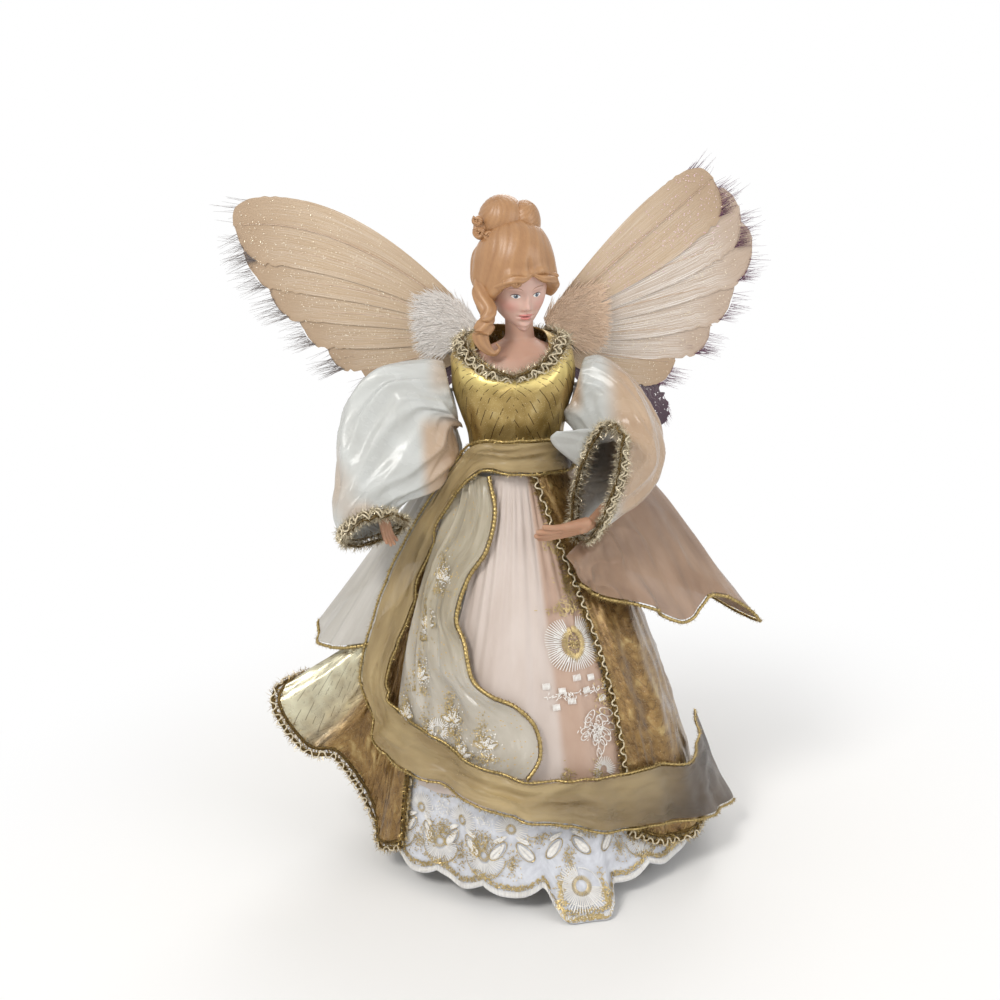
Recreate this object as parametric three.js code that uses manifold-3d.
// Angel tree topper: a hollow cone that slips over the tip of the tree, a dressed torso on it with
// bendable wire arms, a cast head, and two wings of layered feathers on a hinge bracket.
// Millimetres, +Z up. The figure faces -Y, and left and right are as seen from its front.
import * as THREE from "three";
import { mergeVertices } from "three/addons/utils/BufferGeometryUtils.js";
import Module from "manifold-3d";

const wasm = await Module();
wasm.setup();

// Driving dimensions
const clearance = 0.3; // between pieces that touch
const overrun = 2; // how far a cutter runs past the piece it cuts

const cone = { height: 244, baseRadius: 60, topRadius: 15, wall: 1.6, rimWidth: 6, rimHeight: 3,
  sideCount: 24 };
const skirt = {
  waistRise: 12, // from the cone's top to the waist
  waistRadius: 23,
  hemRadius: 95,
  waistShift: -4, // the waist stands this far to the left of the cone's axis
  flarePower: 1.6,
  foldDepth: 3,
  foldShares: [[6, 0.55, 0.9], [9, 0.45, 2.2]], // folds round, share of the depth, phase in radians
};
const cloth = { thickness: 0.8, layerPitch: 1.5 };
const layer = { lace: 1, panel: 2.2, overskirt: 4.2, stole: 5.2, apron: 5.7, sash: 8 };
const torso = { lift: 1, height: 63, halfWidth: 36.3, depth: 29, shift: -3.5, formRise: 4 };
const arm = {
  pivotShare: 0.5873, wireRadius: 1.1, eyeRadius: 2.6, eyeWire: 1, eyeOffset: 3, capRadius: 2, capLength: 1.2,
};
const sleeve = { length: 90, sideCount: 14, ringCount: 8 };
const wing = { reach: 150, hingeSpacing: 24, hingeBehind: 4.2, sweep: 11, feather: 1, pitch: 1.3, down: 2 };
const bracket = { width: 30, height: 30, thickness: 2, ear: 3, pinRadius: 1.5, barrelWall: 1.4, rise: 14 };
const head = { width: 35, depth: 40, height: 46, rise: 61, shift: 1.5 };
const braid = { neck: 2.3, waist: 2, cuff: 2.4, overskirt: 2.2, cord: 0.8, sideCount: 5, cordSideCount: 4 };
const turn = { clearance: 1.2 }; // how much further out a trim runs where the edge it follows turns sharply

const waistHeight = cone.height + skirt.waistRise;
const torsoBottom = waistHeight + torso.lift;
const pivotHeight = torsoBottom + arm.pivotShare * torso.height;
const headHeight = pivotHeight + head.rise;
const bracketHeight = pivotHeight + bracket.rise;

const colours = {
  cardboard: 0xd9d2c3, foam: 0xf1eee6, wire: 0x9a9a98, skin: 0xe9c3ac, hair: 0xdf9a5c, satin: 0xeceeec,
  lame: 0xb9963f, braid: 0x8f7f55, cord: 0xc19a3c, tulle: 0xf2f0ea, lace: 0xf0ece4, panel: 0xe8d3cb,
  organza: 0xdcd3c6, sash: 0x9d8a4e, stole: 0xcbb5a3, feather: 0xe2cdb4, plum: 0x4b3238, down: 0xefe8df,
};

const group = new THREE.Group();

function addMesh(name, geometry, colour, roughness = 0.7, metalness = 0, parent = group) {
  const material = new THREE.MeshStandardMaterial({ color: colour, roughness, metalness });
  const mesh = new THREE.Mesh(geometry, material);
  mesh.name = name;
  parent.add(mesh);
  return mesh;
}

const vector = (x, y, z) => new THREE.Vector3(x, y, z);
const evenly = (count, from = 0, to = 1) =>
  Array.from({ length: count + 1 }, (_, i) => from + ((to - from) * i) / count);
const roundDegrees = (sides) => evenly(sides - 1, 0, fullTurn - fullTurn / sides);
const radians = THREE.MathUtils.degToRad;
const [fullTurn, halfTurn] = [360, 180]; // degrees

function geometryOf(points, triangles) {
  const geometry = new THREE.BufferGeometry();
  geometry.setAttribute("position", new THREE.Float32BufferAttribute(points.flatMap((p) => p.toArray()), 3));
  geometry.setIndex(triangles.flat());
  return facingOut(geometry);
}

// Turns a closed mesh right side out when its volume comes out negative.
function facingOut(geometry) {
  const at = geometry.getAttribute("position");
  const corner = [vector(), vector(), vector()];
  const index = geometry.getIndex().array;
  let volume = 0;
  for (let i = 0; i < index.length; i += 3) {
    corner.forEach((p, k) => p.fromBufferAttribute(at, index[i + k]));
    volume += corner[0].dot(corner[1].clone().cross(corner[2]));
  }
  if (volume < 0) {
    for (let i = 0; i < index.length; i += 3) [index[i], index[i + 1]] = [index[i + 1], index[i]];
  }
  geometry.computeVertexNormals();
  return geometry;
}

function toSolid(geometry) {
  const bare = geometry.clone();
  bare.deleteAttribute("normal");
  bare.deleteAttribute("uv");
  const merged = mergeVertices(bare);
  return new wasm.Manifold(new wasm.Mesh({
    numProp: 3,
    vertProperties: new Float32Array(merged.getAttribute("position").array),
    triVerts: new Uint32Array(merged.getIndex().array),
  }));
}

function fromSolid(solid) {
  const mesh = solid.getMesh();
  const geometry = new THREE.BufferGeometry();
  geometry.setAttribute("position", new THREE.BufferAttribute(mesh.vertProperties, 3));
  geometry.setIndex(new THREE.BufferAttribute(mesh.triVerts, 1));
  geometry.computeVertexNormals();
  return geometry;
}

const joined = (solids) => solids.reduce((whole, solid) => whole.add(solid));

function ball(centre, radii, around = 16, down = 10) {
  const geometry = new THREE.SphereGeometry(1, around, down);
  geometry.rotateX(Math.PI / 2);
  geometry.scale(radii.x, radii.y, radii.z);
  geometry.translate(centre.x, centre.y, centre.z);
  return toSolid(geometry);
}

// A tapered rod from one point to another.
function rod(from, to, startRadius, endRadius, sides = 8) {
  const along = to.clone().sub(from);
  const geometry = new THREE.CylinderGeometry(endRadius, startRadius, along.length(), sides);
  geometry.applyQuaternion(new THREE.Quaternion().setFromUnitVectors(vector(0, 1, 0),
    along.clone().normalize()));
  const middle = from.clone().lerp(to, 0.5);
  geometry.translate(middle.x, middle.y, middle.z);
  return toSolid(geometry);
}

// A tube along a path, with closed ends.
function tube(path, radius, steps, sides) {
  const section = new THREE.Shape();
  for (let i = 0; i < sides; i++) {
    const angle = (2 * Math.PI * i) / sides;
    const [x, y] = [radius * Math.cos(angle), radius * Math.sin(angle)];
    if (i) section.lineTo(x, y);
    else section.moveTo(x, y);
  }
  section.closePath();
  return new THREE.ExtrudeGeometry(section, { steps, extrudePath: path, bevelEnabled: false,
    curveSegments: 1 });
}

// The unit normal of a surface that is given as a function of (across, down), each from 0 to 1.
function normalAt(surface, across, down, wraps) {
  const step = 0.004;
  const within = (value) => THREE.MathUtils.clamp(value, 0, 1);
  const [a, b] = wraps ? [across - step, across + step] : [within(across - step), within(across + step)];
  const [c, d] = [within(down - step), within(down + step)];
  const along = surface(b, down).sub(surface(a, down));
  const fall = surface(across, d).sub(surface(across, c));
  return fall.cross(along).normalize();
}

// A sheet of cloth: the surface with half the thickness on each side of it, closed at its edges.
function sheet(surface, acrossSteps, downSteps, thickness = cloth.thickness, wraps = false) {
  const columns = wraps ? acrossSteps : acrossSteps + 1;
  const outer = [];
  const inner = [];
  for (let j = 0; j <= downSteps; j++) {
    for (let i = 0; i < columns; i++) {
      const [across, down] = [i / acrossSteps, j / downSteps];
      const point = surface(across, down);
      const lift = normalAt(surface, across, down, wraps).multiplyScalar(thickness / 2);
      outer.push(point.clone().add(lift));
      inner.push(point.clone().sub(lift));
    }
  }
  const count = outer.length;
  const triangles = [];
  const quad = (a, b, c, d) => triangles.push([a, b, c], [a, c, d]);
  const at = (i, j) => j * columns + (i % columns);
  for (let j = 0; j < downSteps; j++) {
    for (let i = 0; i < acrossSteps; i++) {
      const [a, b, c, d] = [at(i, j), at(i, j + 1), at(i + 1, j + 1), at(i + 1, j)];
      quad(a, b, c, d);
      quad(count + a, count + d, count + c, count + b); // split along the same diagonal as the outer face
    }
  }
  for (let i = 0; i < acrossSteps; i++) {
    const [a, b] = [at(i, 0), at(i + 1, 0)];
    const [c, d] = [at(i, downSteps), at(i + 1, downSteps)];
    quad(a, b, count + b, count + a);
    quad(d, c, count + c, count + d);
  }
  for (let j = 0; j < downSteps && !wraps; j++) {
    const [a, b] = [at(0, j), at(0, j + 1)];
    const [c, d] = [at(acrossSteps, j), at(acrossSteps, j + 1)];
    quad(b, a, count + a, count + b);
    quad(c, d, count + d, count + c);
  }
  return geometryOf([...outer, ...inner], triangles);
}

// A closed body through rings of points, capped at both ends.
function loft(rings) {
  const sides = rings[0].length;
  const points = rings.flat();
  const triangles = [];
  for (let j = 0; j < rings.length - 1; j++) {
    for (let i = 0; i < sides; i++) {
      const [a, b] = [j * sides + i, j * sides + ((i + 1) % sides)];
      triangles.push([a, b, b + sides], [a, b + sides, a + sides]);
    }
  }
  const middle = (ring) => ring.reduce((sum, p) => sum.add(p), vector(0, 0, 0)).divideScalar(sides);
  const [low, high] = [points.length, points.length + 1];
  points.push(middle(rings[0]), middle(rings.at(-1)));
  const last = (rings.length - 1) * sides;
  for (let i = 0; i < sides; i++) {
    const next = (i + 1) % sides;
    triangles.push([low, next, i], [high, last + i, last + next]);
  }
  return geometryOf(points, triangles);
}

// The skirt

// One point over the skirt: degrees round from the front towards +X, height, and standoff from the bare
// skirt.
function skirtPoint(degrees, height, standoff) {
  const drop = THREE.MathUtils.clamp(1 - height / waistHeight, 0, 1);
  const flare = 1 - (1 - drop) ** skirt.flarePower;
  const angle = radians(degrees);
  const wave = skirt.foldShares
    .map(([folds, share, phase]) => share * Math.cos(folds * angle + phase))
    .reduce((sum, fold) => sum + fold);
  const bare = THREE.MathUtils.lerp(skirt.waistRadius, skirt.hemRadius, flare);
  const radius = bare + skirt.foldDepth * flare * wave + standoff;
  return vector(skirt.waistShift * (1 - flare) + radius * Math.sin(angle), -radius * Math.cos(angle), height);
}

// A drape over the skirt between a top edge and a hem. Each edge is a list of columns: degrees, then the
// height as a share of the waist's height and the reach past the drape's own layer as a share of the
// hem's radius.
function drape(topShares, hemShares, layerIndex, power = 1) {
  const curve = (rows) => new THREE.CatmullRomCurve3(rows.map((row) => vector(...row)), false, "catmullrom");
  const [top, hem] = [curve(topShares), curve(hemShares)];
  return (across, down) => {
    const [a, b] = [top.getPoint(across), hem.getPoint(across)];
    const degrees = THREE.MathUtils.lerp(a.x, b.x, down);
    const height = THREE.MathUtils.lerp(a.y, b.y, down) * waistHeight;
    const reach = THREE.MathUtils.lerp(a.z, b.z, down ** power) * skirt.hemRadius;
    return skirtPoint(degrees, height, layerIndex * cloth.layerPitch + reach);
  };
}

// The path of a braid or cord along an edge of a sheet, square off the edge and just clear of it.
function edgePath(surface, points, radius, edgeAt, inset, slack = 0) {
  const reach = radius + clearance + slack;
  const places = points.map((t) => {
    const [edge, inside] = [surface(...edgeAt(t)), surface(...inset(t))];
    const back = surface(...edgeAt(Math.max(0, t - edgeStep)));
    const along = surface(...edgeAt(Math.min(1, t + edgeStep))).sub(back).normalize();
    const outward = edge.clone().sub(inside);
    outward.addScaledVector(along, -outward.dot(along));
    return edge.clone().add(outward.setLength(reach));
  });
  return new THREE.CatmullRomCurve3(places, false, "centripetal");
}
const [insetStep, edgeStep] = [0.02, 0.01];
const downEdge = (surface, count, radius, slack) => edgePath(
  surface, evenly(count), radius, (t) => [t, 1], (t) => [t, 1 - insetStep], slack);
const upEdge = (surface, count, radius, slack) => edgePath(
  surface, evenly(count), radius, (t) => [t, 0], (t) => [t, insetStep], slack);
const sideEdge = (surface, count, radius, side, slack) => edgePath(
  surface, evenly(count), radius, (t) => [side, t], (t) => [side ? 1 - insetStep : insetStep, t], slack);

function makeCone() {
  const rimInner = cone.baseRadius - cone.rimWidth;
  const profile = [
    [0, cone.height], [cone.topRadius, cone.height], [cone.baseRadius, cone.rimHeight], [cone.baseRadius, 0],
    [rimInner, 0], [rimInner, cone.rimHeight], [cone.baseRadius - cone.wall, cone.rimHeight + cone.wall],
    [cone.topRadius - cone.wall, cone.height - cone.wall], [0, cone.height - cone.wall],
  ];
  const geometry = new THREE.LatheGeometry(profile.map(([r, z]) => new THREE.Vector2(r, z)), cone.sideCount);
  geometry.rotateX(Math.PI / 2);
  addMesh("body_cone", fromSolid(toSolid(facingOut(mergeVertices(stripped(geometry))))),
    colours.cardboard, 0.85);
}

function stripped(geometry) {
  geometry.deleteAttribute("normal");
  geometry.deleteAttribute("uv");
  return geometry;
}

const skirtTopShare = 0.995;
const underskirtHemShare = 0.055;
const laceScallopCount = 18;
const laceCurlPower = 6; // how late the lace turns outward on its way down
const laceShares = { top: 0.36, hem: 0.036, scallop: 0.024, flare: 0.035 };
// the corner of the lace that hangs lowest, in front
const lacePointShares = { degrees: 13, spreadDegrees: 8, drop: 0.034, reach: 0.2 };

function makeUnderskirt() {
  const surface = (across, down) => {
    const share = THREE.MathUtils.lerp(skirtTopShare, underskirtHemShare, down);
    return skirtPoint(fullTurn * across, share * waistHeight, 0);
  };
  addMesh("underskirt", sheet(surface, 40, 6, cloth.thickness, true), colours.tulle, 0.6);

  const lace = (across, down) => {
    const degrees = fullTurn * across;
    const away = THREE.MathUtils.euclideanModulo(degrees - lacePointShares.degrees + halfTurn,
      fullTurn) - halfTurn;
    const corner = Math.exp(-((away / lacePointShares.spreadDegrees) ** 2));
    const scallop = laceShares.scallop * Math.abs(Math.cos(radians((laceScallopCount * degrees) / 2)));
    const hem = laceShares.hem + scallop * (1 - corner) - lacePointShares.drop * corner;
    const right = Math.max(0, Math.sin(radians(degrees)));
    const flare = laceShares.flare * (1 + right) + lacePointShares.reach * corner;
    const reach = flare * skirt.hemRadius * down ** laceCurlPower;
    const height = THREE.MathUtils.lerp(laceShares.top, hem, down) * waistHeight;
    return skirtPoint(degrees, height, layer.lace * cloth.layerPitch + reach);
  };
  addMesh("lace_hem", sheet(lace, 4 * laceScallopCount, 4, cloth.thickness, true), colours.lace, 0.8);
}

function makePanel() {
  const topShares = [[-30, 0.965, 0], [0, 0.965, 0], [26, 0.965, 0]];
  const hemShares = [[-52, 0.25, 0], [-8, 0.24, 0], [40, 0.23, 0]];
  addMesh("lace_panel", sheet(drape(topShares, hemShares, layer.panel), 10, 6), colours.panel, 0.6);
}

const overskirtTopShare = 0.972;
const overskirtCurlPower = 4;

function makeOverskirt() {
  const topDegrees = [20, 45, 80, 115, 150, 180, 215, 240, 255, 262, 268, 273, 278, 283, 289, 296, 303];
  const topShares = topDegrees.map((degrees) => [degrees, overskirtTopShare, 0]);
  const hemShares = [
    [34, 0.17, 0], [50, 0.11, 0.03], [72, 0.1, 0.08], [110, 0.12, 0.05], [145, 0.11, 0.04], [180, 0.11, 0.04],
    [218, 0.17, 0.06], [244, 0.31, 0.2], [261, 0.42, 0.4], [271, 0.46, 0.64], [277, 0.42, 0.78],
    [279.5, 0.31, 0.56], [281.5, 0.29, 0.36], [284, 0.2, 0.17], [288, 0.13, 0.09], [294, 0.085, 0.06],
    [302, 0.1, 0.01],
  ];
  const surface = drape(topShares, hemShares, layer.overskirt, overskirtCurlPower);
  const [columns, rows] = [42, 8];
  addMesh("gold_overskirt", sheet(surface, columns, rows), colours.lame, 0.35, 0.8);
  const front = sideEdge(surface, rows, braid.overskirt, 0);
  addMesh("overskirt_front_braid", tube(front, braid.overskirt, 2 * rows, braid.sideCount),
    colours.braid, 0.5, 0.4);
  const hem = downEdge(surface, columns, braid.overskirt, turn.clearance);
  addMesh("overskirt_hem_braid", tube(hem, braid.overskirt, columns, braid.sideCount), colours.braid,
    0.5, 0.4);
}

function makeApron() {
  const topShares = [[-80, 0.965, -0.008], [-62, 0.965, 0], [-46, 0.965, 0], [-30, 0.965, 0]];
  const cordShares = [
    [-30, 0.965, 0], [-21, 0.895, 0], [-25, 0.812, 0], [-36, 0.746, 0.01], [-39, 0.656, 0.02],
    [-32, 0.598, 0.02],
    [-26, 0.527, 0.01], [-16, 0.495, 0], [-6, 0.472, 0], [0, 0.43, 0], [1, 0.37, 0], [-4, 0.325, 0],
  ];
  const leftShares = [
    [-80, 0.965, -0.008], [-79, 0.85, 0], [-77, 0.7, 0.01], [-75, 0.55, 0.02], [-70, 0.42, 0.01],
    [-58, 0.33, 0],
  ];
  const edge = (rows) => new THREE.CatmullRomCurve3(rows.map((row) => vector(...row)), false, "catmullrom");
  const [left, cord] = [edge(leftShares), edge(cordShares)];
  const puffShare = 0.02;
  const surface = (across, down) => {
    const [a, b] = [left.getPoint(down), cord.getPoint(down)];
    const place = a.lerp(b, across);
    const puff = puffShare * Math.sin(Math.PI * across) * Math.sin(Math.PI * down);
    const standoff = layer.apron * cloth.layerPitch + (place.z + puff) * skirt.hemRadius;
    return skirtPoint(place.x, place.y * waistHeight, standoff);
  };
  const rows = 13;
  addMesh("sheer_apron", sheet(surface, 8, rows), colours.organza, 0.5);
  const side = sideEdge(surface, rows, braid.cord, 1, turn.clearance);
  addMesh("apron_cord", tube(side, braid.cord, 2 * rows, braid.cordSideCount), colours.cord, 0.4, 0.6);
}

function makeSash() {
  const upperShares = [
    [82, 1.03, -0.045], [60, 1.035, -0.02], [35, 1.04, 0], [0, 1.045, 0], [-38, 1.04, 0], [-66, 0.985, 0.02],
    [-73, 0.87, 0.12], [-75, 0.76, 0.19], [-75, 0.645, 0.23], [-75, 0.55, 0.24], [-75, 0.46, 0.21],
    [-75, 0.375, 0.11], [-67, 0.33, 0.07], [-56, 0.31, 0.02], [-38, 0.295, 0], [-20, 0.275, 0],
    [-5, 0.245, 0],
    [9, 0.22, 0], [22, 0.19, 0], [38, 0.17, 0], [55, 0.14, 0.02], [72, 0.105, 0.12], [86, 0.08, 0.24],
  ];
  const lowerShares = [
    [78, 0.975, -0.045], [58, 0.97, -0.02], [35, 0.975, 0], [0, 0.98, 0], [-34, 0.985, 0], [-58, 0.92, 0],
    [-68, 0.83, 0.01], [-70, 0.73, 0.02], [-71, 0.62, 0.04], [-71, 0.53, 0.09], [-70, 0.45, 0.07],
    [-64, 0.41, 0], [-52, 0.4, 0], [-40, 0.385, 0], [-28, 0.36, 0], [-12, 0.335, 0], [2, 0.315, 0],
    [14, 0.31, 0], [27, 0.3, 0], [45, 0.29, 0], [64, 0.25, 0.02], [82, 0.26, 0.06], [97, 0.28, 0.07],
  ];
  const surface = drape(lowerShares, upperShares, layer.sash);
  const columns = 38;
  addMesh("sash", sheet(surface, columns, 2), colours.sash, 0.45, 0.2);
  const inner = upEdge(surface, columns, braid.cord, clearance);
  const outer = downEdge(surface, columns, braid.cord, turn.clearance / 2);
  addMesh("sash_inner_cord", tube(inner, braid.cord, columns, braid.cordSideCount), colours.cord, 0.4, 0.6);
  addMesh("sash_outer_cord", tube(outer, braid.cord, columns, braid.cordSideCount), colours.cord, 0.4, 0.6);
}

function makeStole() {
  const topShares = [
    [24, 0.785, 0.1], [42, 0.77, 0.1], [60, 0.77, 0.16], [78, 0.79, 0.26], [94, 0.84, 0.38], [106, 0.9, 0.42],
    [125, 0.93, 0.22], [150, 0.95, 0.05], [180, 0.955, 0], [210, 0.95, 0.05], [235, 0.93, 0.2],
    [254, 0.84, 0.34],
    [264, 0.79, 0.34], [272, 0.76, 0.26], [279, 0.74, 0.16],
  ];
  const hemShares = [
    [28, 0.745, 0.1], [38, 0.705, 0.08], [56, 0.665, 0.15], [69, 0.605, 0.3], [80, 0.645, 0.5],
    [86, 0.6, 0.66],
    [91, 0.54, 0.74], [104, 0.56, 0.52], [135, 0.62, 0.22], [180, 0.67, 0.12], [222, 0.66, 0.26],
    [254, 0.6, 0.56],
    [267, 0.54, 0.56], [275, 0.54, 0.4], [281, 0.56, 0.2],
  ];
  const curlPower = 1.3;
  const surface = drape(topShares, hemShares, layer.stole, curlPower);
  const columns = 38;
  addMesh("stole", sheet(surface, columns, 4), colours.stole, 0.5);
  const hem = downEdge(surface, columns, braid.cord, turn.clearance + clearance);
  addMesh("stole_cord", tube(hem, braid.cord, columns, braid.cordSideCount), colours.cord, 0.4, 0.6);
}

// The torso and bodice

// Rings from the waist up: height share, then half width, front depth and back depth shares, and how far
// the ring dips in front.
const torsoShares = [
  [0, 0.757, 0.79, 0.76, 0], [0.175, 0.785, 0.86, 0.776, 0], [0.38, 0.88, 0.98, 0.79, 0],
  [0.6, 0.978, 1, 0.79, 0.03],
  [0.78, 1, 0.965, 0.776, 0.11], [0.905, 0.98, 0.914, 0.724, 0.19], [1, 0.895, 0.845, 0.62, 0.255],
];

function torsoPoint(degrees, up, inset) {
  const place = up * (torsoShares.length - 1);
  const index = Math.min(Math.floor(place), torsoShares.length - 2);
  const [a, b] = [torsoShares[index], torsoShares[index + 1]];
  const [rise, wide, front, back, dip] = a
    .map((value, k) => THREE.MathUtils.lerp(value, b[k], place - index));
  const angle = radians(degrees);
  const depth = (Math.cos(angle) > 0 ? front : back) * torso.depth - inset;
  const lower = dip * Math.max(0, Math.cos(angle)) ** 2;
  return vector(
    torso.shift + (wide * torso.halfWidth - inset) * Math.sin(angle), -depth * Math.cos(angle),
    torsoBottom + (rise - lower) * torso.height);
}

function shoulderBore(radius) {
  const reach = torso.halfWidth + overrun;
  return rod(
    vector(torso.shift - reach, 0, pivotHeight), vector(torso.shift + reach, 0, pivotHeight), radius, radius);
}

function makeTorso() {
  const bodiceInset = cloth.thickness + clearance;
  const sides = 18;
  const around = roundDegrees(sides);
  const formTop = pivotHeight + torso.formRise;
  const formTopShare = 0.44;
  const waistGap = clearance + cloth.thickness / 2;
  const waistRing = (height) => around.map((degrees) => {
    const radius = skirt.waistRadius - waistGap;
    const angle = radians(degrees);
    return vector(skirt.waistShift + radius * Math.sin(angle), -radius * Math.cos(angle), height);
  });
  const bodyRing = (up, height) => around.map((degrees) => torsoPoint(degrees, up, bodiceInset).setZ(height));
  const lowRows = torsoShares.slice(0, 3);
  const lowRings = lowRows.map(
    ([rise], i) => bodyRing(i / (torsoShares.length - 1), torsoBottom + rise * torso.height));
  const form = loft([
    waistRing(cone.height + clearance), waistRing(torsoBottom - clearance), ...lowRings,
    bodyRing(formTopShare, formTop),
  ]);
  const bore = shoulderBore(arm.wireRadius + clearance);
  addMesh("torso_form", fromSolid(toSolid(form).subtract(bore)), colours.foam, 0.9);

  const surface = (across, down) => torsoPoint(fullTurn * across, 1 - down, 0);
  const bodice = toSolid(sheet(surface, 24, 6, cloth.thickness, true)).subtract(bore);
  addMesh("bodice", fromSolid(bodice), colours.lame, 0.35, 0.8);

  const neckLift = cloth.thickness / 2 + 2 * clearance + braid.neck;
  const neckDownShare = 0.05;
  const neckOpenShare = 0.01;
  const neckPlaces = evenly(22, 0.5 + neckOpenShare, 1.5 - neckOpenShare).map((across) => {
    const outward = normalAt(surface, across, neckDownShare, true);
    const place = surface(across, neckDownShare);
    if (outward.dot(place.clone().setZ(0)) < 0) outward.negate();
    return place.add(outward.multiplyScalar(neckLift));
  });
  const neck = new THREE.CatmullRomCurve3(neckPlaces, false, "centripetal");
  addMesh("neck_braid", tube(neck, braid.neck, 24, braid.sideCount), colours.braid, 0.5, 0.4);

  const waistStandoff = layer.overskirt * cloth.layerPitch - cloth.thickness / 2;
  const braidHeight = overskirtTopShare * waistHeight + braid.waist + 2 * clearance;
  const waistSteps = 20;
  const waistOpen = 2; // degrees each side of the middle of the back, where the ends meet
  const waistPlaces = evenly(waistSteps, halfTurn + waistOpen, fullTurn + halfTurn - waistOpen)
    .map((degrees) => skirtPoint(degrees, braidHeight, waistStandoff));
  const waist = new THREE.CatmullRomCurve3(waistPlaces, false, "centripetal");
  addMesh("waist_braid", tube(waist, braid.waist, waistSteps, braid.sideCount), colours.braid, 0.5, 0.4);
}

// The arms

// from the torso's middle to the sleeve head
const shoulderOut = torso.halfWidth + cloth.thickness + 2 * clearance;

const sleeveEase = 0.18; // how far along the sleeve, each way, its rings look to find their slope

// A ringed tube of cloth along a path: rows hold the ring's centre, its width and its depth, as shares of
// a length.
function sleeveSurface(rows, origin, side, scale) {
  const centres = new THREE.CatmullRomCurve3(
    rows.map(([x, y, z]) => vector(origin.x + side * x * scale, origin.y + y * scale, origin.z + z * scale)));
  const radii = new THREE.CatmullRomCurve3(
    rows.map(([, , , wide, deep]) => vector(wide * scale, deep * scale, 0)));
  return (across, down) => {
    const centre = centres.getPoint(down);
    const [before, after] = [Math.max(0, down - sleeveEase), Math.min(1, down + sleeveEase)];
    const ahead = centres.getPoint(after).sub(centres.getPoint(before)).normalize();
    const depthWay = vector(0, 1, 0).addScaledVector(ahead, -ahead.y).normalize();
    const widthWay = ahead.clone().cross(depthWay);
    const size = radii.getPoint(down);
    const angle = 2 * Math.PI * across;
    centre.addScaledVector(widthWay, size.x * Math.cos(angle));
    return centre.addScaledVector(depthWay, size.y * Math.sin(angle));
  };
}

function cuffPath(surface, radius) {
  const openShare = 0.02;
  const ring = (down) => evenly(sleeve.sideCount, openShare, 1 - openShare)
    .map((across) => surface(across, down));
  const [edge, inside] = [ring(1), ring(1 - insetStep)];
  const ahead = edge.reduce((sum, point, i) => sum.add(point).sub(inside[i]), vector(0, 0, 0));
  ahead.setLength(radius + cloth.thickness / 2 + clearance);
  return new THREE.CatmullRomCurve3(edge.map((point) => point.clone().add(ahead)), false, "centripetal");
}

const [wireSides, wireSteps] = [6, 10];
const wirePath = (route) => new THREE.CatmullRomCurve3(route, false, "centripetal");

function makeShoulderWire() {
  const out = shoulderOut + arm.eyeOffset + arm.eyeWire + clearance + arm.capLength;
  const left = vector(torso.shift - out, 0, pivotHeight);
  const right = vector(torso.shift + out, 0, pivotHeight);
  const cap = vector(arm.capLength, 0, 0);
  const wire = joined([
    rod(left, right, arm.wireRadius, arm.wireRadius, wireSides),
    rod(left, left.clone().add(cap), arm.capRadius, arm.capRadius, wireSides),
    rod(right.clone().sub(cap), right, arm.capRadius, arm.capRadius, wireSides),
  ]);
  addMesh("shoulder_wire", fromSolid(wire), colours.wire, 0.4, 0.9);
}

// The arm's wire: an eye round the shoulder wire, then the bent limb down to the hand.
function armWire(pivot, route) {
  const eye = new THREE.TorusGeometry(arm.eyeRadius, arm.eyeWire, 6, 12);
  eye.rotateY(Math.PI / 2);
  eye.translate(pivot.x, pivot.y, pivot.z);
  return toSolid(eye).add(toSolid(tube(wirePath(route), arm.eyeWire, wireSteps, wireSides)));
}

// A forearm, wrist, palm and four fingers.
function handSolid(wrist, forearmEnd, palm, fingers, size) {
  const solids = [
    rod(forearmEnd, wrist, size.forearm, size.wrist, 8),
    ball(wrist, vector(size.wrist, size.wrist, size.wrist), 8, 6),
    rod(wrist, palm, size.wrist, size.palm, 8),
    ball(palm, vector(size.palm, size.palm, size.palm), 8, 6),
  ];
  fingers.forEach(([from, to]) => solids.push(rod(from, to, size.finger, size.fingertip, 5)));
  return joined(solids);
}

const handSize = { forearm: 5, wrist: 3.8, palm: 4.2, finger: 1.9, fingertip: 1.3 };
const wireGripShare = 0.6; // how far into the forearm the wire reaches
const wireMouthShare = 0.2;

// An arm: the sleeve's rows and the hand's places are shares of the sleeve's length, from the socket and
// its height.

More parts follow.
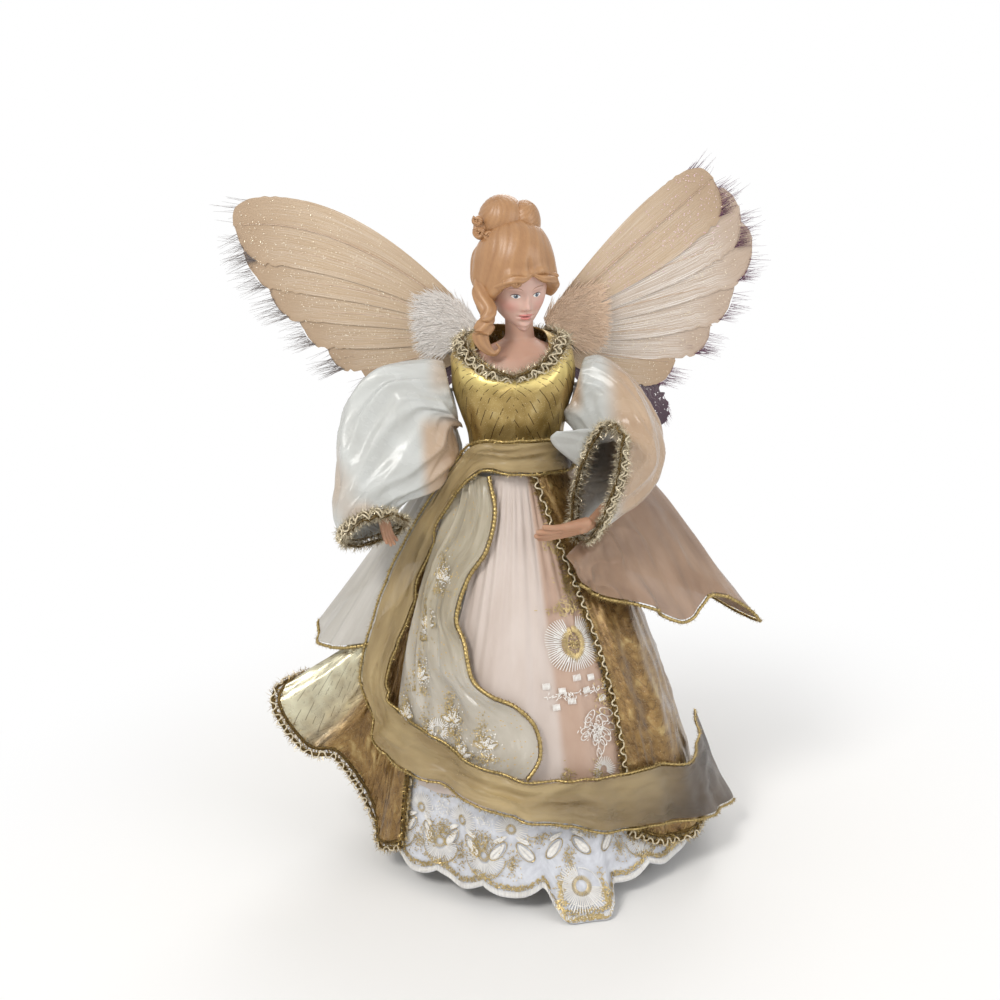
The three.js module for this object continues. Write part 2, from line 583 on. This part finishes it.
function makeArm(label, side, rows, handShares) {
  const socket = vector(torso.shift + side * shoulderOut, 0, pivotHeight);
  const surface = sleeveSurface(rows, socket, side, sleeve.length);
  const cut = sheet(surface, sleeve.sideCount, sleeve.ringCount, cloth.thickness, true);
  addMesh(`${label}_sleeve`, cut, colours.satin, 0.35);
  addMesh(
    `${label}_cuff_braid`, tube(cuffPath(surface, braid.cuff), braid.cuff, 18, braid.sideCount),
      colours.braid, 0.5, 0.4);

  const place = ([x, y, z]) => vector(
    socket.x + side * x * sleeve.length, y * sleeve.length, pivotHeight + z * sleeve.length);
  const wrist = place(handShares.wrist);
  const forearmEnd = place(handShares.forearm);
  const palm = place(handShares.palm);
  const spread = place(handShares.spread).sub(place([0, 0, 0]));
  const fingers = handShares.fingers.map(([shift, reach]) => {
    const from = palm.clone().addScaledVector(spread, shift);
    const tip = place(handShares.tip).sub(palm).multiplyScalar(reach).add(from);
    return [from, tip];
  });
  const pivot = vector(socket.x + side * arm.eyeOffset, 0, pivotHeight);
  const elbow = place(handShares.elbow);
  const start = pivot.clone().add(elbow.clone().sub(pivot).setX(0).setLength(arm.eyeRadius));
  const route = [start, elbow, forearmEnd, forearmEnd.clone().lerp(wrist, wireGripShare)];
  const wire = armWire(pivot, route);
  const end = route.at(-1);
  const beyond = wrist.clone().sub(forearmEnd).setLength(2 * clearance).add(end);
  const boreRadius = arm.eyeWire + clearance;
  const socketCut = toSolid(tube(wirePath(route), boreRadius, wireSteps, wireSides))
    .add(rod(end.clone().lerp(forearmEnd, wireMouthShare), beyond, boreRadius, boreRadius, wireSides));
  const hand = handSolid(wrist, forearmEnd, palm, fingers, handSize).subtract(socketCut);
  addMesh(`${label}_arm_wire`, fromSolid(wire), colours.wire, 0.4, 0.9);
  addMesh(`${label}_hand`, fromSolid(hand), colours.skin, 0.4);
}

function makeArms() {
  makeShoulderWire();
  makeArm("left", -1, [
    [0, 0, 0, 0.02, 0.02], [0.02, 0, 0, 0.13, 0.13], [0.1, -0.01, -0.01, 0.21, 0.18],
    [0.3, -0.04, -0.05, 0.25, 0.21], [0.43, -0.09, -0.28, 0.28, 0.2], [0.5, -0.19, -0.48, 0.25, 0.17],
    [0.57, -0.3, -0.64, 0.2, 0.15],
    [0.58, -0.37, -0.73, 0.19, 0.15], [0.55, -0.42, -0.79, 0.19, 0.17],
  ], {
    elbow: [0.36, 0.02, -0.3], forearm: [0.46, -0.24, -0.5], wrist: [0.47, -0.39, -0.7],
    palm: [0.465, -0.43, -0.79],
    tip: [0.43, -0.47, -0.92], spread: [-0.03, 0.035, -0.01],
    fingers: [[-1, 0.85], [-0.3, 1], [0.4, 0.95], [1, 0.8]],
  });
  makeArm("right", 1, [
    [0, 0, 0, 0.02, 0.02], [0.02, 0, 0, 0.12, 0.12], [0.08, -0.01, -0.01, 0.19, 0.17],
    [0.24, -0.05, -0.09, 0.22, 0.2], [0.37, -0.15, -0.31, 0.225, 0.205], [0.33, -0.31, -0.48, 0.23, 0.205],
    [0.17, -0.46, -0.53, 0.27, 0.18], [0.05, -0.56, -0.53, 0.36, 0.16],
  ], {
    elbow: [0.3, -0.1, -0.42], forearm: [0.14, -0.48, -0.74], wrist: [0.03, -0.64, -0.78],
    palm: [-0.1, -0.7, -0.79],
    tip: [-0.31, -0.78, -0.81], spread: [0.01, -0.035, 0.035],
    fingers: [[-1, 0.8], [-0.3, 1], [0.4, 0.95], [1, 0.8]],
  });
}

// The head and hair

// Lumps of the head and hair: how far right, back and up of the head's centre, then half width, depth and
// height, all as shares of the head's own width, depth and height.
const lumpShares = {
  skull: [[0, 0, 0], [0.5, 0.5, 0.5]],
  jaw: [[0.03, -0.16, -0.25], [0.37, 0.33, 0.29]],
  nose: [[0, -0.5, -0.06], [0.07, 0.07, 0.13]],
  face: [[0.03, -0.62, -0.2], [0.44, 0.42, 0.44]],
  cap: [[-0.043, 0.09, 0.14], [0.72, 0.6, 0.49]],
  bun: [[-0.1, 0.1, 0.83], [0.47, 0.4, 0.28]],
  knot: [[-0.59, -0.02, 0.68], [0.2, 0.17, 0.15]],
  nape: [[-0.043, 0.32, -0.1], [0.5, 0.3, 0.4]],
};
const lockShares = [ // the long lock in front of the left shoulder
  [-0.62, -0.22, 0.12], [-0.66, -0.36, -0.12], [-0.56, -0.42, -0.34], [-0.62, -0.46, -0.52],
  [-0.52, -0.52, -0.66],
  [-0.42, -0.56, -0.8],
];
const lockThicknessShare = 0.15;

// The shoulder plate and neck: height as a share of the head, then half width, front and back depth as
// shares of the torso's.
const plateShares = [
  [0, 0.93, 0.87, 0.68], [0.17, 0.94, 0.79, 0.66], [0.3, 0.9, 0.68, 0.6], [0.38, 0.74, 0.56, 0.5],
  [0.45, 0.5, 0.44, 0.4], [0.52, 0.3, 0.34, 0.33], [0.6, 0.235, 0.29, 0.29], [0.9, 0.225, 0.27, 0.29],
];
const neckRootShare = 0.6;

const headPlace = ([x, y, z]) =>
  vector(head.shift + x * head.width, y * head.depth, headHeight + z * head.height);

function lump(name, around, down) {
  const [place, [wide, deep, tall]] = lumpShares[name];
  return ball(headPlace(place), vector(wide * head.width, deep * head.depth, tall * head.height), around,
    down);
}

function makeHead() {
  const plateBottom = pivotHeight + torso.formRise + clearance;
  const rings = plateShares.map(([rise, wide, front, back]) => roundDegrees(16).map((degrees) => {
    const angle = radians(degrees);
    const depth = (Math.cos(angle) > 0 ? front : back) * torso.depth;
    const shift = THREE.MathUtils.lerp(torso.shift, head.shift, Math.min(1, rise / neckRootShare));
    return vector(
      shift + wide * torso.halfWidth * Math.sin(angle), -depth * Math.cos(angle),
        plateBottom + rise * head.height);
  }));
  const plate = toSolid(loft(rings));
  const bare = joined([lump("skull", 14, 10), lump("jaw", 10, 8), lump("nose", 6, 4)]);
  addMesh("head_casting", fromSolid(plate.add(bare)), colours.skin, 0.35);

  const centre = headPlace([0, 0, 0]);
  const grown = (solid, gap) => solid.translate([-centre.x, -centre.y, -centre.z])
    .scale([1 + (2 * gap) / head.width, 1 + (2 * gap) / head.depth, 1 + (2 * gap) / head.height])
    .translate([centre.x, centre.y, centre.z]);
  const lockPath = new THREE.CatmullRomCurve3(lockShares.map(headPlace), false, "centripetal");
  const lock = toSolid(tube(lockPath, lockThicknessShare * head.width, 12, 6));
  const shell = joined([lump("cap", 16, 10), lump("bun", 12, 8), lump("knot", 8, 6), lump("nape", 12, 8)]);
  const hair = shell.subtract(lump("face", 12, 8)).add(lock)
    .subtract(grown(bare, 2 * clearance)).subtract(grown(plate, 2 * clearance));
  const pieces = hair.decompose().sort((a, b) => b.volume() - a.volume());
  addMesh("hair_casting", fromSolid(pieces[0]), colours.hair, 0.5);
}

// The wings

const widestShare = 0.72; // along a feather, where it is widest
const quillShare = 0.22; // of its width, at its root

// A feather's outline in the wing's plane: a centre line from the root through a bend to the tip, and its
// half width.
function featherShape(side, root, bend, tip, halfWidth) {
  const line = new THREE.QuadraticBezierCurve(
    ...[root, bend, tip].map(([u, w]) => new THREE.Vector2(side * u * wing.reach, w * wing.reach)));
  const steps = 9;
  const [above, below] = [[], []];
  for (let i = 0; i <= steps; i++) {
    const t = i / steps;
    const pastWidest = (t - widestShare) / (1 - widestShare);
    const swell = THREE.MathUtils.lerp(quillShare, 1, Math.sin((Math.min(1, t / widestShare) * Math.PI) / 2));
    const rounding = Math.sqrt(Math.max(0, 1 - pastWidest ** 2));
    const width = halfWidth * wing.reach * (t < widestShare ? swell : rounding);
    const centre = line.getPoint(t);
    const across = line.getTangent(t).rotateAround(new THREE.Vector2(0, 0), Math.PI / 2);
    if (i === steps) above.push(centre);
    else {
      above.push(centre.clone().addScaledVector(across, width));
      below.push(centre.clone().addScaledVector(across, -width));
    }
  }
  return new THREE.Shape([...above, ...below.reverse()]);
}

function flat(shape, thickness, behind) {
  const geometry = new THREE.ExtrudeGeometry(shape, { depth: thickness, bevelEnabled: false,
    curveSegments: 6 });
  geometry.rotateX(Math.PI / 2);
  geometry.translate(0, behind + thickness, 0);
  return geometry;
}

const backOfTorso = torsoShares[3][3] * torso.depth + cloth.thickness / 2;
const hingeY = backOfTorso + 2 * clearance + bracket.thickness + wing.hingeBehind;
const barrelHeight = bracket.height - 2 * bracket.ear - 2 * clearance;
const barrelRadius = bracket.pinRadius + clearance + bracket.barrelWall;

function makeBracket() {
  const plateFront = backOfTorso + 2 * clearance;
  const box = (x, y, z, wide, deep, tall) => {
    const geometry = new THREE.BoxGeometry(wide, deep, tall);
    geometry.translate(x, y, z);
    return toSolid(geometry);
  };
  const plateMiddle = plateFront + bracket.thickness / 2;
  const solids = [
    box(torso.shift, plateMiddle, bracketHeight, bracket.width, bracket.thickness, bracket.height),
  ];
  for (const side of [-1, 1]) {
    const x = torso.shift + (side * wing.hingeSpacing) / 2;
    for (const end of [-1, 1]) {
      const z = bracketHeight + (end * (bracket.height - bracket.ear)) / 2;
      const deep = hingeY + bracket.pinRadius - plateFront;
      solids.push(box(x, plateFront + deep / 2, z, 2 * barrelRadius, deep, bracket.ear));
    }
    const foot = vector(x, hingeY, bracketHeight - bracket.height / 2 + bracket.ear / 2);
    const top = vector(x, hingeY, bracketHeight + bracket.height / 2 - bracket.ear / 2);
    solids.push(rod(foot, top, bracket.pinRadius, bracket.pinRadius, 10));
  }
  addMesh("wing_bracket", fromSolid(joined(solids)), colours.wire, 0.4, 0.9);
}

function makeWing(label, side, featherShares) {
  const hinge = new THREE.Group();
  hinge.position.set(torso.shift + (side * wing.hingeSpacing) / 2, hingeY, bracketHeight);
  hinge.rotation.z = radians(side * wing.sweep);
  group.add(hinge);

  const barrel = new THREE.Shape().absarc(0, 0, barrelRadius, 0, 2 * Math.PI);
  barrel.holes.push(new THREE.Path().absarc(0, 0, bracket.pinRadius + clearance, 0, 2 * Math.PI));
  const sleeveBarrel = new THREE.ExtrudeGeometry(barrel, { depth: barrelHeight, bevelEnabled: false,
    curveSegments: 7 });
  sleeveBarrel.translate(0, 0, -barrelHeight / 2);
  const sparShares = [[0, -0.05], [0.1, -0.06], [0.2, 0.02], [0.2, 0.2], [0.12, 0.2], [0, 0.02]];
  const sparPoints = sparShares.map(([u, w]) => new THREE.Vector2(side * u * wing.reach, w * wing.reach));
  const sparShape = new THREE.Shape(sparPoints);
  const spar = toSolid(stripped(sleeveBarrel)).add(toSolid(stripped(flat(sparShape, wing.feather, 0))));
  const pinHole = rod(
    vector(0, 0, -bracket.height), vector(0, 0, bracket.height), bracket.pinRadius + clearance,
    bracket.pinRadius + clearance, 14);
  addMesh(`${label}_wing_spar`, fromSolid(spar.subtract(pinHole)), colours.wire, 0.4, 0.9, hinge);

  featherShares.forEach(({ root, bend, tip, halfWidth, plum }, index) => {
    const shape = featherShape(side, root, bend, tip, halfWidth);
    const behind = (index + 1) * wing.pitch;
    const name = `${label}_wing_feather_${index + 1}`;
    addMesh(name, flat(shape, wing.feather, behind), plum ? colours.plum : colours.feather, 0.6, 0, hinge);
  });
  const downShares = { root: [0.07, 0.1], bend: [0.16, 0.14], tip: [0.3, 0.13], halfWidth: 0.12 };
  const downShape = featherShape(side, downShares.root, downShares.bend, downShares.tip,
    downShares.halfWidth);
  addMesh(
    `${label}_wing_down`, flat(downShape, wing.down, -wing.down - clearance), colours.down, 0.9, 0, hinge);
}

function makeWings() {
  makeBracket();
  makeWing("left", -1, [
    { root: [0.09, 0.14], bend: [0.62, 0.6], tip: [1.06, 0.55], halfWidth: 0.11 },
    { root: [0.09, 0.12], bend: [0.56, 0.47], tip: [1.03, 0.44], halfWidth: 0.11 },
    { root: [0.09, 0.1], bend: [0.52, 0.33], tip: [0.94, 0.31], halfWidth: 0.11 },
    { root: [0.09, 0.08], bend: [0.46, 0.2], tip: [0.83, 0.18], halfWidth: 0.11 },
    { root: [0.09, 0.06], bend: [0.4, 0.09], tip: [0.72, 0.05], halfWidth: 0.11 },
    { root: [0.09, 0.03], bend: [0.32, 0], tip: [0.57, -0.07], halfWidth: 0.1 },
    { root: [0.09, 0], bend: [0.44, -0.1], tip: [0.56, -0.38], halfWidth: 0.11, plum: true },
  ]);
  makeWing("right", 1, [
    { root: [0.09, 0.14], bend: [0.48, 0.44], tip: [0.78, 0.655], halfWidth: 0.105 },
    { root: [0.09, 0.12], bend: [0.5, 0.4], tip: [0.89, 0.54], halfWidth: 0.115 },
    { root: [0.09, 0.1], bend: [0.46, 0.32], tip: [0.95, 0.4], halfWidth: 0.12 },
    { root: [0.09, 0.08], bend: [0.42, 0.18], tip: [0.88, 0.23], halfWidth: 0.12 },
    { root: [0.09, 0.06], bend: [0.38, 0.06], tip: [0.78, 0.05], halfWidth: 0.11 },
    { root: [0.09, 0.03], bend: [0.3, -0.04], tip: [0.62, -0.09], halfWidth: 0.11 },
    { root: [0.09, 0], bend: [0.44, -0.1], tip: [0.52, -0.38], halfWidth: 0.11, plum: true },
  ]);
}

makeCone();
makeUnderskirt();
makePanel();
makeOverskirt();
makeApron();
makeSash();
makeStole();
makeTorso();
makeArms();
makeHead();
makeWings();

export default group;
